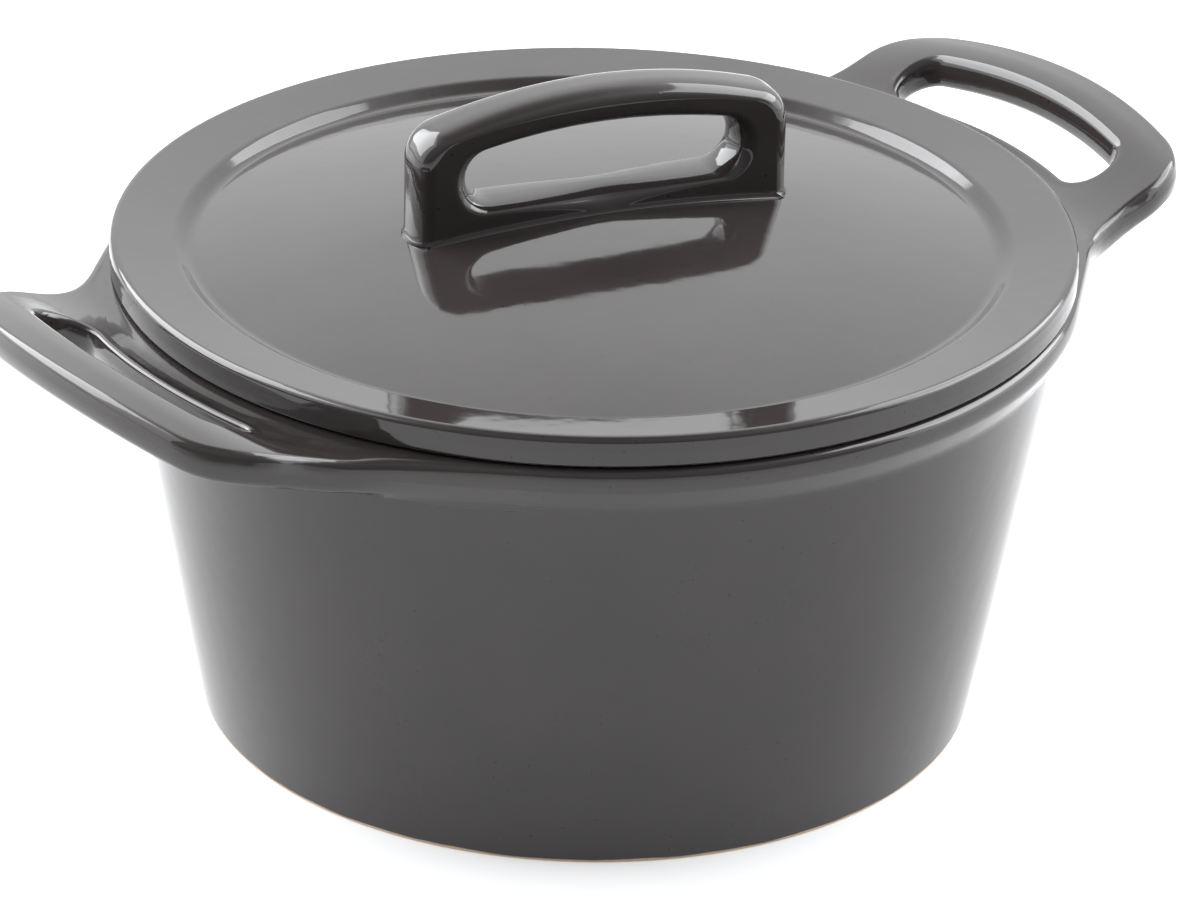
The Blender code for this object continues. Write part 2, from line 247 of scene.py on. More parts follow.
def rounded(corners, longest=LONGEST_STEP):
    """A path through corners (x, y, radius), each inner one rounded, and the stretch of each rounding."""
    path = [Vector(corners[0][:2])]
    spans = []
    for before, corner, after in zip(corners, corners[1:], corners[2:]):
        point = Vector(corner[:2])
        back = (Vector(before[:2]) - point).normalized()
        ahead = (Vector(after[:2]) - point).normalized()
        half = back.angle(ahead) / 2.0
        centre = point + (back + ahead).normalized() * corner[2] / math.sin(half)
        first = point + back * corner[2] / math.tan(half) - centre
        turn = math.copysign(math.pi - 2.0 * half, -back.cross(ahead))
        start = math.atan2(first.y, first.x)
        extend(path, centre + first, longest)
        spans.append((len(path) - 1, len(path) - 1 + extend_arc(path, centre, corner[2], start, turn)))
    extend(path, Vector(corners[-1][:2]), longest)
    return path, spans


def extend(path, point, longest):
    """Adds a straight stretch to a path, in steps no longer than given."""
    start = path[-1]
    steps = math.ceil((point - start).length / longest)
    path += [start.lerp(point, (i + 1) / steps) for i in range(steps)]


def extend_arc(path, centre, radius, start, turn):
    """Adds an arc whose first point is already there, and returns its count of steps."""
    points = arc(centre, radius, start, start + turn, FINE_ARC)[1:]
    path += points
    return len(points)


def lengths_along(path):
    """Distance of each point from the path's start."""
    lengths = [0.0]
    for a, b in zip(path, path[1:]):
        lengths.append(lengths[-1] + (b - a).length)
    return lengths


def spread(path, count):
    """The path as count + 1 points at even distances along it."""
    return places(path, [i / count for i in range(count + 1)])


def places(path, shares):
    """Points of the path at rising shares of its length."""
    lengths = lengths_along(path)
    points = []
    span = 0
    for share in shares:
        want = lengths[-1] * share
        while span < len(path) - 2 and lengths[span + 1] < want:
            span += 1
        part = (want - lengths[span]) / (lengths[span + 1] - lengths[span])
        points.append(path[span].lerp(path[span + 1], part))
    return points


def strip(bm, first, second):
    """Faces between two rows of points, leaving out those that collapse."""
    for a, b, c, d in zip(first, first[1:], second[1:], second):
        corners = list(dict.fromkeys((a, b, c, d)))
        if len(corners) > 2:
            bm.faces.new(corners)


def both_sides(count):
    """Sections of a half outline and then of its mirror image, all the way round, as (index, side)."""
    return [(i, 1) for i in range(count)] + [(i, -1) for i in range(count - 2, 0, -1)]


def relax_folds(bm, below):
    """Evens out the points below a height where neighbouring faces fold back on each other."""
    bmesh.ops.recalc_face_normals(bm, faces=bm.faces)
    low = [edge for edge in bm.edges if edge.verts[0].co.z < below]
    for _ in range(RELAX_ROUNDS):
        bm.normal_update()
        folded = set()
        for edge in low:
            first, second = edge.link_faces
            if first.normal.dot(second.normal) < FOLD:
                folded.update(first.verts, second.verts)
        if not folded:
            break
        bmesh.ops.smooth_vert(
            bm, verts=list(folded), factor=RELAX_SHARE, use_axis_x=True, use_axis_y=True, use_axis_z=True
        )


def finished_mesh(bm, name):
    """The mesh with its faces turned outwards and shaded smooth."""
    bmesh.ops.recalc_face_normals(bm, faces=bm.faces)
    mesh = bpy.data.meshes.new(name)
    bm.to_mesh(mesh)
    bm.free()
    mesh.shade_smooth()
    return mesh


def turned_columns(bm, path, turns, left_out=()):
    """Columns of points that turn a profile about Z. Ends on the axis are one shared point.

    left_out holds (turn index, row) pairs that get no point.
    """
    poles = {}
    for row in (0, len(path) - 1):
        if path[row].x < ON_AXIS:
            poles[row] = bm.verts.new((0.0, 0.0, path[row].y))
    columns = []
    for index, turn in enumerate(turns):
        column = []
        for row, p in enumerate(path):
            if row in poles:
                column.append(poles[row])
            elif (index, row) in left_out:
                column.append(None)
            else:
                column.append(bm.verts.new((p.x * math.cos(turn), p.x * math.sin(turn), p.y)))
        columns.append(column)
    return columns


def close_round(bm, columns):
    """Faces between neighbouring columns, all the way round, where all their points exist."""
    for column, following in zip(columns, columns[1:] + columns[:1]):
        for j in range(len(column) - 1):
            corners = (column[j], column[j + 1], following[j + 1], following[j])
            if None not in corners:
                bm.faces.new(list(dict.fromkeys(corners)))


class SideHandle:
    """A loop handle that grows out of the rim bead on the +X side of the pot."""

    BAR_STEPS = 16  # sections along half the bar
    ARM_STEPS = 64  # sections round one arm and its root
    WEB_STEPS = 22  # sections along half the web
    LINE_STEPS = 12  # points from slot to outer edge

    def __init__(self, pot, handle, bead):
        """bead is the stretch of the pot's profile that the handle's root covers, top to bottom."""
        self.pot = pot
        self.sizes = handle
        self.bead = bead
        self.half = handle.thickness / 2.0
        self.root_middle = pot.height - handle.drop - self.half
        lengths = lengths_along(bead)
        self.shares = [one / lengths[-1] for one in lengths]
        edge, _ = rounded([
            (-handle.edge, self.half),
            (-handle.edge_lean, self.half, handle.edge_round),
            (0.0, self.half - handle.edge_lean_height, handle.edge_lean_round),
            (0.0, -self.half, handle.edge_low_round),
            (-handle.edge, -self.half),
        ])
        self.edge = places(edge, self.shares)
        self.arm_reach = handle.slot_length / 2.0 + handle.arm
        self.slot, self.outer = self.outlines()

    def outlines(self):
        """Half outlines in plan, from the middle of the bar round one arm to the middle of the web."""
        sizes = self.sizes
        rim = self.pot.rim_radius
        near = rim + sizes.web
        far = near + sizes.slot_width
        slot_half = sizes.slot_length / 2.0
        arm = self.arm_reach

        def corner(distance, across):
            centre = Vector((math.sqrt(distance**2 - across**2), across))
            return centre, math.atan2(centre.y, centre.x)

        square = math.pi / 2.0
        slot_far, far_turn = corner(far - sizes.slot_corner, slot_half - sizes.slot_corner)
        slot_near, near_turn = corner(near + sizes.slot_corner, slot_half - sizes.slot_corner)
        shoulder, shoulder_turn = corner(sizes.reach - sizes.arm_corner, arm - sizes.arm_corner)
        root, self.root_turn = corner(rim, arm + sizes.root_flare)
        bend = root.x + sizes.root_flare * math.tan(self.root_turn)
        axis = (0.0, 0.0)
        slot_end = arc(slot_far, sizes.slot_corner, far_turn, square)
        slot_end += arc(slot_near, sizes.slot_corner, square, math.pi + near_turn)
        arm_side = arc(shoulder, sizes.arm_corner, shoulder_turn, square)
        arm_side += rounded([(shoulder.x, arm), (bend, arm, sizes.root_fillet), root])[0][1:]
        stretches = (
            (arc(axis, far, 0.0, far_turn), arc(axis, sizes.reach, 0.0, shoulder_turn), self.BAR_STEPS),
            (slot_end, arm_side, self.ARM_STEPS),
            (arc(axis, near, near_turn, 0.0), arc(axis, rim, self.root_turn, 0.0), self.WEB_STEPS),
        )
        slot, outer = [], []
        for inside, outside, count in stretches:
            slot += spread(inside, count)[1 if slot else 0:]
            outer += spread(outside, count)[1 if outer else 0:]
        return slot, outer

    def root_turns(self):
        """Angles of the pot's columns that the root covers, from one end to the other."""
        count = self.WEB_STEPS
        return [self.root_turn * i / count for i in range(-count, count + 1)]

    def middle(self, plan):
        """Height of the loop's middle plane, which climbs outwards to an arched bar."""
        sizes = self.sizes
        distance = math.hypot(plan.x + sizes.climb_centre, plan.y) - sizes.climb_centre
        rise = sizes.rise - sizes.corner_drop * (plan.y / self.arm_reach) ** 2
        return self.root_middle + rise * ease((distance - self.pot.rim_radius) / sizes.climb_run)

    def lifted(self, plan, height):
        """A point of the loop in space, run together with the bead above and below."""
        middle = self.middle(plan)
        share = height / self.half
        top, bottom = self.bead[0], self.bead[-1]
        reach = self.pot.rim_radius + self.sizes.blend
        if share > 0.0:
            near = ease((reach - plan.length) / (reach - top.x))
            shift = (top.y - middle - self.half) * near * share
        else:
            near = min(max((reach - plan.length) / (reach - bottom.x), 0.0), 1.0)
            shift = (middle - self.half - bottom.y) * (1.0 - math.sqrt(1.0 - near * near)) * share
        return Vector((plan.x, plan.y, middle + height + shift))

    def outwards(self, outline, index):
        """Direction in plan that leads squarely out of an outline."""
        before, after = outline[max(index - 1, 0)], outline[min(index + 1, len(outline) - 1)]
        if index in (0, len(outline) - 1):
            return Vector((1.0 if index == 0 else -1.0, 0.0))
        return Vector((after.y - before.y, before.x - after.x)).normalized()

    def bow(self, start, end, merge):
        """Middle control point of a section's line in plan, so that it passes outside the rim's circle."""
        middle = start.lerp(end, 0.5)
        spread_half = abs(start.angle_signed(end)) / 2.0
        bisector = (start.normalized() + end.normalized()).normalized()
        beside = bisector * max(end.length / math.cos(spread_half), middle.dot(bisector))
        return middle.lerp(beside, merge)

    def section(self, index):
        """Points of one section: slot edge from below, upper and lower line outwards, and outer edge.

        The outer edge turns into the bead where a root runs out along the rim. On the web there is none.
        """
        rim = self.pot.rim_radius
        slot, outer = self.slot[index], self.outer[index]
        on_web = index >= self.BAR_STEPS + self.ARM_STEPS
        from_slot = self.outwards(self.slot, index)
        slot_edge = [self.lifted(slot - from_slot * out, height) for out, height in reversed(self.edge)]
        heading = outer.normalized() if on_web else self.outwards(self.outer, index)
        merge = 1.0 if on_web else ease(1.0 - (outer.length - rim) / self.sizes.root_fade)
        profile = []
        for place, row in zip(self.edge, self.bead):
            profile.append(place.lerp(Vector((row.x - rim, row.y - self.root_middle)), merge))
        start = slot + from_slot * self.sizes.edge
        steps = [1.0 - (1.0 - j / self.LINE_STEPS) ** 2 for j in range(1, self.LINE_STEPS + 1)]
        lines = []
        for height, last in ((self.half, profile[0]), (-self.half, profile[-1])):
            end = outer + heading * last.x
            bow = self.bow(start, end, merge)
            for_line = [start.lerp(bow, step).lerp(bow.lerp(end, step), step) for step in steps]
            lines.append([self.lifted(plan, height) for plan in for_line])
        outer_edge = []
        for out, height in profile:
            plan = outer + heading * out
            outer_edge.append(Vector((plan.x, plan.y, self.middle(plan) + height)))
        begin = lines[0][-1] - outer_edge[0]
        finish = lines[1][-1] - outer_edge[-1]
        for line, gap in zip(lines, (begin, finish)):
            for step, point in zip(steps, line):
                point -= gap * merge * step**2
        for share, point in zip(self.shares, outer_edge):
            point += (begin * (1.0 - share) ** 2 + finish * share**2) * (1.0 - merge)
        return slot_edge, lines[0], lines[1], outer_edge[1:-1]

    def add(self, bm, columns, first_row, last_row, turn):
        """Adds the loop to the pot's mesh. columns are those of the root, from -Y to +Y."""
        count = len(self.slot)
        last_closed = self.BAR_STEPS + self.ARM_STEPS
        rotation = Matrix.Rotation(turn, 3, "Z")
        rings = []
        for index, side in both_sides(count):
            slot_edge, upper, lower, outer_edge = (
                [rotation @ Vector((p.x, side * p.y, p.z)) for p in points] for points in self.section(index)
            )
            slot_edge = [bm.verts.new(p) for p in slot_edge]
            if index < last_closed:
                upper = [bm.verts.new(p) for p in upper]
                lower = [bm.verts.new(p) for p in lower]
                closing = [upper[-1]] + [bm.verts.new(p) for p in outer_edge] + [lower[-1]]
            else:
                column = columns[self.WEB_STEPS + side * (count - 1 - index)]
                upper = [bm.verts.new(p) for p in upper[:-1]] + [column[first_row]]
                lower = [bm.verts.new(p) for p in lower[:-1]] + [column[last_row]]
                closing = column[first_row:last_row + 1] if index == last_closed else None
            rings.append((slot_edge, [slot_edge[-1]] + upper, [slot_edge[0]] + lower, closing))
        for ring, following in zip(rings, rings[1:] + rings[:1]):
            for part, next_part in zip(ring, following):
                if part and next_part:
                    strip(bm, part, next_part)


def pot_corners(pot):
    """Profile of the pot as (radius, height, rounding), from the middle of the floor to that of the base."""
    neck_height = pot.height - pot.bead_height
    neck = pot.rim_radius - pot.bead_undercut
    slope = (neck - pot.foot_radius) / neck_height
    across = pot.wall * math.hypot(1.0, slope)
    floor_top = pot.foot_recess + pot.floor
    ring_inside = pot.foot_radius - pot.foot_ring
    return [
        (0.0, floor_top),
        (pot.foot_radius + slope * floor_top - across, floor_top, pot.cove),
        (neck + slope * pot.bead_height - across, pot.height, pot.lip_round),
        (pot.rim_radius - pot.rim_lean, pot.height, pot.rim_round),
        (pot.rim_radius, pot.height - pot.rim_lean_height, pot.rim_lean_round),
        (pot.rim_radius, neck_height + pot.bead_slope, pot.bead_round),
        (neck, neck_height, pot.neck_round),
        (pot.foot_radius, 0.0, pot.foot_round),
        (ring_inside, 0.0, pot.foot_ring_round),
        (ring_inside - pot.foot_recess, pot.foot_recess, pot.foot_ring_round),
        (0.0, pot.foot_recess),
    ]


def pot_mesh(pot, sizes):
    """The turned pot with both handles grown out of its rim bead, as one skin."""
    path, spans = rounded(pot_corners(pot), POT_STEP)
    first_row = spans[RIM_CORNER][0]
    last_row = spans[NECK_CORNER][1]
    handle = SideHandle(pot, sizes, path[first_row:last_row + 1])
    root = handle.root_turns()
    plain_span = math.pi - 2.0 * handle.root_turn
    plain_steps = math.ceil(plain_span / POT_TURN)
    plain = [handle.root_turn + plain_span * i / plain_steps for i in range(1, plain_steps)]
    half_round = root + plain
    turns = half_round + [math.pi + turn for turn in half_round]
    left_out = set()
    for start in (0, len(half_round)):
        for index in range(start + 1, start + len(root) - 1):
            left_out |= {(index, row) for row in range(first_row + 1, last_row)}
    bm = bmesh.new()
    columns = turned_columns(bm, path, turns, left_out)
    close_round(bm, columns)
    for start, turn in ((0, 0.0), (len(half_round), math.pi)):
        handle.add(bm, columns[start:start + len(root)], first_row, last_row, turn)
    relax_folds(bm, handle.root_middle)
    return finished_mesh(bm, "pot_skin")


def dome_height(top, radius, distance):
    """Height of a dome at a distance from its axis."""
    return top - radius + math.sqrt(radius**2 - distance**2)


def lid_mesh(lid):
    """The turned lid: dome, valley, step and border above, flat seat and spigot below."""
    border_inside = lid.radius - lid.border
    valley = border_inside - lid.step
    inside = lid.spigot - lid.spigot_width
    under_radius = lid.dome_radius - lid.thickness
    under_edge = valley - lid.thickness / 2.0
    seat_round = lid.lower_round / 3.0  # hollow corner between seat and spigot

    def dome(top, radius, edge):
        steps = math.ceil(edge / LONGEST_STEP)
        distances = [edge * i / steps for i in range(steps + 1)]
        return [Vector((distance, dome_height(top, radius, distance))) for distance in distances]

    outside = dome(lid.dome_top, lid.dome_radius, valley)
    under = dome(lid.dome_top - lid.thickness, under_radius, under_edge)
    rim, _ = rounded([
        outside[-2],
        (*outside[-1], lid.valley_round),
        (border_inside, lid.edge - lid.border_fall, lid.border_round),
        (lid.radius - lid.edge_lean, lid.edge, lid.edge_round),
        (lid.radius, lid.edge - lid.edge_lean_height, lid.edge_lean_round),
        (lid.radius, 0.0, lid.lower_round),
        (lid.spigot, 0.0, seat_round),
        (lid.spigot, -lid.spigot_depth, lid.spigot_round),
        (inside, -lid.spigot_depth, lid.spigot_round),
        under[-1],
    ])
    path = outside[:-2] + rim + under[-2::-1]
    turns = [2.0 * math.pi * i / LID_STEPS for i in range(LID_STEPS)]
    bm = bmesh.new()
    close_round(bm, turned_columns(bm, path, turns))
    return finished_mesh(bm, "lid_skin")


class BridgeGrip:
    """The grip, a plate on edge round its finger slot.

    Its outlines are (height over the dome centre, length).
    """

    CROWN_STEPS = 22  # sections along half the crown
    END_STEPS = 48  # sections round one end
    FOOT_STEPS = 22  # sections along half the foot
    FACE_STEPS = 12  # points from slot to outer edge
    EDGE_STEPS = 8  # points round one half of an edge

    def __init__(self, grip, lid):
        self.sizes = grip
        self.lid = lid
        self.half = grip.thickness / 2.0
        self.slot, self.outer = self.outlines()

    def foot_height(self, along, across):
        """Underside of the foot over the dome centre."""
        reach = math.hypot(along, across)
        return dome_height(0.0, self.lid.dome_radius, reach) - self.sizes.sink

    def outlines(self):
        """Half outlines from the middle of the crown round one end to the middle of the foot."""
        sizes = self.sizes
        end = sizes.length / 2.0
        slot_end = sizes.slot_length / 2.0
        square = math.pi / 2.0

        def arch(top, radius, reach, corner):
            middle = Vector((top - radius, 0.0))
            across = reach - corner
            centre = middle + Vector((math.sqrt((radius - corner) ** 2 - across**2), across))
            turn = math.asin(across / (radius - corner))
            return arc(middle, radius, 0.0, turn), arc(centre, corner, turn, square)

        crown, crown_corner = arch(sizes.height, sizes.arch, end, sizes.corner)
        roof, roof_corner = arch(sizes.sill + sizes.slot_height, sizes.slot_arch, slot_end, sizes.slot_round)
        low_corner = (sizes.sill + sizes.slot_round, slot_end - sizes.slot_round)
        end_inside = roof_corner + arc(low_corner, sizes.slot_round, square, math.pi)
        end_outside = crown_corner + [Vector((self.foot_height(end, 0.0), end))]
        sill = [Vector((sizes.sill, low_corner[1])), Vector((sizes.sill, 0.0))]
        foot = [Vector((0.0, end * (1.0 - i / self.FOOT_STEPS))) for i in range(self.FOOT_STEPS + 1)]
        for point in foot:
            point.x = self.foot_height(point.y, 0.0)
        slot, outer = spread(roof, self.CROWN_STEPS), spread(crown, self.CROWN_STEPS)
        slot += spread(end_inside, self.END_STEPS)[1:]
        outer += spread(end_outside, self.END_STEPS)[1:]
        slot += spread(sill, self.FOOT_STEPS)[1:]
        outer += foot[1:]
        return slot, outer

    def edge_points(self, depth, flat):
        """A rounded edge as (outwards from the edge's start, across from the middle plane) pairs."""
        turns = [math.pi / 2.0 * i / self.EDGE_STEPS for i in range(self.EDGE_STEPS + 1)]
        front = [(depth * math.sin(turn), flat + (self.half - flat) * math.cos(turn)) for turn in turns]
        return front + [(depth, 0.0)] + [(out, -across) for out, across in reversed(front)]

    def placed(self, plan, across, foot=False):
        """A point in space over the dome centre. Close to the dome it moves outwards with the glaze."""
        x, y, z = plan.y, across, plan.x
        ground = self.foot_height(x, y)
        if foot:
            z = ground
        over = min(max((z - ground) / self.sizes.flare_height, 0.0), 1.0)
        push = self.sizes.flare * (1.0 - math.sqrt(1.0 - (1.0 - over) ** 2)) if over < 1.0 else 0.0
        inner = (self.sizes.length / 2.0 - self.sizes.edge, self.half - self.sizes.edge)
        out = Vector((abs(x) - inner[0], abs(y) - inner[1]))
        if push and max(out) > 0.0:
            out = Vector((max(out.x, 0.0), max(out.y, 0.0)))
            share = min(out.length / self.sizes.edge, 1.0)
            out = out.normalized() * push * share
            x += math.copysign(out.x, x)
            y += math.copysign(out.y, y)
            if foot or z <= ground:
                z = self.foot_height(x, y)
        return Vector((x, y, z))

    def section(self, index):
        """Points of one section: slot edge, both faces outwards, and the outer edge between them."""
        slot, outer = self.slot[index], self.outer[index]
        along = (outer - slot).normalized()
        edge = self.sizes.edge
        foot = index > self.CROWN_STEPS + self.END_STEPS
        slot_depth = self.sizes.slot_edge
        slot_edge = []
        for inwards, across in reversed(self.edge_points(slot_depth, self.sizes.slot_flat)):
            slot_edge.append(self.placed(slot + along * (slot_depth - inwards), across))
        start = slot + along * slot_depth
        end = outer if foot else outer - along * edge
        faces = []
        for across in (self.half, -self.half):
            steps = [1.0 - (1.0 - j / self.FACE_STEPS) ** 2 for j in range(1, self.FACE_STEPS + 1)]
            points = [self.placed(start.lerp(end, share), across) for share in steps]
            if foot:
                points[-1] = self.placed(outer, across, foot=True)
            faces.append(points)
        outer_edge = []
        for outwards, across in self.edge_points(edge, self.half - self.sizes.cheek)[1:-1]:
            if foot:
                outer_edge.append(self.placed(outer, across, foot=True))
            else:
                outer_edge.append(self.placed(end + along * outwards, across))
        return slot_edge, faces[0], faces[1], outer_edge

    def mesh(self):
        """The whole grip, round its slot."""
        bm = bmesh.new()
        rings = []
        for index, side in both_sides(len(self.slot)):
            slot_edge, front, back, edge = (
                [bm.verts.new((side * p.x, p.y, p.z)) for p in points] for points in self.section(index)
            )
            rings.append(slot_edge + front + edge + back[::-1])
        for ring, following in zip(rings, rings[1:] + rings[:1]):
            strip(bm, ring + ring[:1], following + following[:1])
        return finished_mesh(bm, "grip_skin")


def feed(tree, node, inputs):
    """Gives the inputs of a node values, or joins them to the outputs of other nodes."""
    for name, value in inputs.items():
        if isinstance(value, bpy.types.NodeSocket):
            tree.links.new(value, node.inputs[name])
        else:
            node.inputs[name].default_value = value


def add_node(tree, kind, inputs=None, **settings):
    """Adds a node to a tree."""
    node = tree.nodes.new(kind)
    for name, value in settings.items():
        setattr(node, name, value)
    feed(tree, node, inputs or {})
    return node


def noise(tree, place, scale, detail):
    """Even noise in space, from 0 to 1."""
    inputs = {"Vector": place, "Scale": scale, "Detail": detail}
    return add_node(tree, "ShaderNodeTexNoise", inputs).outputs["Fac"]


def ranged(tree, value, start, end=(0.0, 1.0), **settings):
    """Carries a value from one range into another and keeps it there."""
    ends = {"From Min": start[0], "From Max": start[1], "To Min": end[0], "To Max": end[1]}
    return add_node(tree, "ShaderNodeMapRange", {"Value": value, **ends}, **settings).outputs["Result"]


def calculated(tree, operation, *values):
    """Result of a sum or product of values."""
    return add_node(tree, "ShaderNodeMath", dict(enumerate(values)), operation=operation).outputs[0]


def mixed(tree, share, first, second, kind="RGBA", **settings):
    """Mix of two colours, or of two values."""
    inputs = {"Factor": share, "A": first, "B": second}
    return add_node(tree, "ShaderNodeMix", inputs, data_type=kind, **settings).outputs["Result"]


# Scales are waves in a metre. Tones and spreads are least and most, and multiply a colour or a roughness.
CLOUD_SCALE, CLOUD_TONES = 26.0, (0.88, 1.10)
IRON_SPECKS = (330.0, 0.16, 0.20)  # cells in a metre, size of a dot in its cell, share of cells with one
PINHOLES = (160.0, 0.075, 0.10)  # the same
DOT_CORE, DOT_FADE = 0.5, 0.02  # full part of a dot, and width of the step between cells with and without
PINHOLE_ROUGHNESS, PINHOLE_DEPTH = 0.3, 0.6
GLOSS_SCALE, GLOSS_SPREAD = 90.0, (0.8, 1.25)
SKIN_SCALE, SKIN_BUMP, SKIN_DEPTH = 140.0, 0.05, 0.001
CLOUD_DETAIL, GLOSS_DETAIL, SKIN_DETAIL, CLAY_DETAIL, FOOT_DETAIL = 3.0, 4.0, 1.0, 5.0, 2.0
NOISE_MIDDLE = (0.3, 0.7)  # the values between which most of a noise lies
GLAZE_IOR = 1.52
LID_SHIFT, GRIP_SHIFT = (0.7, 0.2, 0.4), (0.3, 0.9, 0.1)  # so that no two pieces share one pattern
FOOT_LINE = 0.0011  # height under which the clay is bare
FOOT_WAVER, FOOT_WAVER_SCALE = 0.0012, 60.0
FOOT_SOFTNESS = 0.0002  # half the width over which glaze gives way to clay
CLAY_GRAIN_SCALE, CLAY_TONES, CLAY_ROUGHNESS = 900.0, (0.75, 1.15), 0.85


def glaze_group():
    """What glazed pieces share: colour with specks and faint clouds, gloss, and the skin's height."""
    group = bpy.data.node_groups.new("glaze_skin", "ShaderNodeTree")
    for way, name, kind in (
        ("INPUT", "Glaze", "NodeSocketColor"),
        ("INPUT", "Speck", "NodeSocketColor"),
        ("INPUT", "Roughness", "NodeSocketFloat"),
        ("INPUT", "Shift", "NodeSocketVector"),
        ("OUTPUT", "Color", "NodeSocketColor"),
        ("OUTPUT", "Roughness", "NodeSocketFloat"),
        ("OUTPUT", "Height", "NodeSocketFloat"),
    ):
        group.interface.new_socket(name, in_out=way, socket_type=kind)
    given = add_node(group, "NodeGroupInput").outputs
    moved = {0: add_node(group, "ShaderNodeTexCoord").outputs["Object"], 1: given["Shift"]}
    place = add_node(group, "ShaderNodeVectorMath", moved, operation="ADD").outputs[0]

    def specks(scale, size, kept):
        """Small round dots in a share of the cells of a Voronoi pattern."""
        cells = add_node(group, "ShaderNodeTexVoronoi", {"Vector": place, "Scale": scale}, feature="F1")
        chosen = add_node(group, "ShaderNodeSeparateColor", {"Color": cells.outputs["Color"]})
        dot = ranged(group, cells.outputs["Distance"], (size * DOT_CORE, size), (1.0, 0.0))
        picked = ranged(group, chosen.outputs["Red"], (1.0 - kept, 1.0 - kept + DOT_FADE))
        return calculated(group, "MULTIPLY", dot, picked)

    iron = specks(*IRON_SPECKS)
    pinholes = specks(*PINHOLES)
    tone = ranged(group, noise(group, place, CLOUD_SCALE, CLOUD_DETAIL), NOISE_MIDDLE, CLOUD_TONES)
    grey = add_node(group, "ShaderNodeCombineColor", {0: tone, 1: tone, 2: tone}).outputs["Color"]
    clouded = mixed(group, 1.0, given["Glaze"], grey, blend_type="MULTIPLY")
    uneven = ranged(group, noise(group, place, GLOSS_SCALE, GLOSS_DETAIL), NOISE_MIDDLE, GLOSS_SPREAD)
    dull = ranged(group, pinholes, (0.0, 1.0), (0.0, PINHOLE_ROUGHNESS))
    waves = noise(group, place, SKIN_SCALE, SKIN_DETAIL)
    add_node(group, "NodeGroupOutput", {
        "Color": mixed(group, iron, clouded, given["Speck"]),
        "Roughness": calculated(group, "MULTIPLY_ADD", given["Roughness"], uneven, dull),
        "Height": calculated(group, "MULTIPLY_ADD", pinholes, -PINHOLE_DEPTH, waves),
    })
    return group


def glaze_material(name, look, shift, foot=None):
    """A glossy glaze. foot is the height under which the clay is left bare."""
    material = bpy.data.materials.new(name)
    material.use_nodes = True
    tree = material.node_tree
    group = bpy.data.node_groups.get("glaze_skin") or glaze_group()
    given = {
        "Glaze": (*look.body, 1.0),
        "Speck": (*look.speck, 1.0),
        "Roughness": look.gloss,
        "Shift": shift,
    }
    skin = add_node(tree, "ShaderNodeGroup", given, node_tree=group).outputs
    relief = {"Strength": SKIN_BUMP, "Distance": SKIN_DEPTH, "Height": skin["Height"]}
    shade, rough = skin["Color"], skin["Roughness"]
    if foot:
        shade, rough = bare_foot(tree, look, foot, shade, rough)
    feed(tree, tree.nodes["Principled BSDF"], {
        "Base Color": shade,
        "Roughness": rough,
        "Metallic": 0.0,
        "IOR": GLAZE_IOR,
        "Normal": add_node(tree, "ShaderNodeBump", relief).outputs["Normal"],
    })
    return material


def bare_foot(tree, look, foot, shade, rough):
    """Mixes bare clay in below the foot line, which wavers a little as a wiped edge does."""
    place = add_node(tree, "ShaderNodeTexCoord").outputs["Object"]
    height = add_node(tree, "ShaderNodeSeparateXYZ", {"Vector": place}).outputs["Z"]
    waver = noise(tree, place, FOOT_WAVER_SCALE, FOOT_DETAIL)
    line = calculated(tree, "MULTIPLY_ADD", waver, -FOOT_WAVER, height)
    middle = foot - FOOT_WAVER / 2.0
    bare = ranged(tree, line, (middle + FOOT_SOFTNESS, middle - FOOT_SOFTNESS))
    dark, light = ((*[tone * c for c in look.clay], 1.0) for tone in CLAY_TONES)
    clay = mixed(tree, noise(tree, place, CLAY_GRAIN_SCALE, CLAY_DETAIL), dark, light)
    return mixed(tree, bare, shade, clay), mixed(tree, bare, rough, CLAY_ROUGHNESS, "FLOAT")


def put(name, mesh, material, body, node):
    """Links a finished skin in place of its CAD node."""
    piece = bpy.data.objects.new(name, mesh)
    bpy.context.scene.collection.objects.link(piece)
    mesh.materials.append(material)
    normals = piece.modifiers.new("Even normals", "WEIGHTED_NORMAL")
    normals.keep_sharp = True
    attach(piece, body)
    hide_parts(node)
    return piece


class DUTCHOVEN_OT_pot(bpy.types.Operator):
    """Builds the pot with its two loop handles"""

    bl_idname = "dutch_oven.pot"
    bl_label = "Build Pot"

    def execute(self, context):
        scene = context.scene
        mesh = pot_mesh(scene.oven_pot, scene.oven_handle)
        material = glaze_material("pot_glaze_skin", scene.oven_glaze, (0.0, 0.0, 0.0), FOOT_LINE)
        put("pot_skin", mesh, material, "pot", "pot")
        return {"FINISHED"}


class DUTCHOVEN_OT_lid(bpy.types.Operator):
    """Builds the domed lid"""

    bl_idname = "dutch_oven.lid"
    bl_label = "Build Lid"

    def execute(self, context):
        scene = context.scene
        lid = scene.oven_lid
        mesh = lid_mesh(lid)
        mesh.transform(Matrix.Translation((0.0, 0.0, lid.seat)) @ Matrix.Rotation(lid.turn, 4, "Z"))
        material = glaze_material("lid_glaze_skin", scene.oven_glaze, LID_SHIFT)
        put("lid_skin", mesh, material, "lid", "lid")
        return {"FINISHED"}


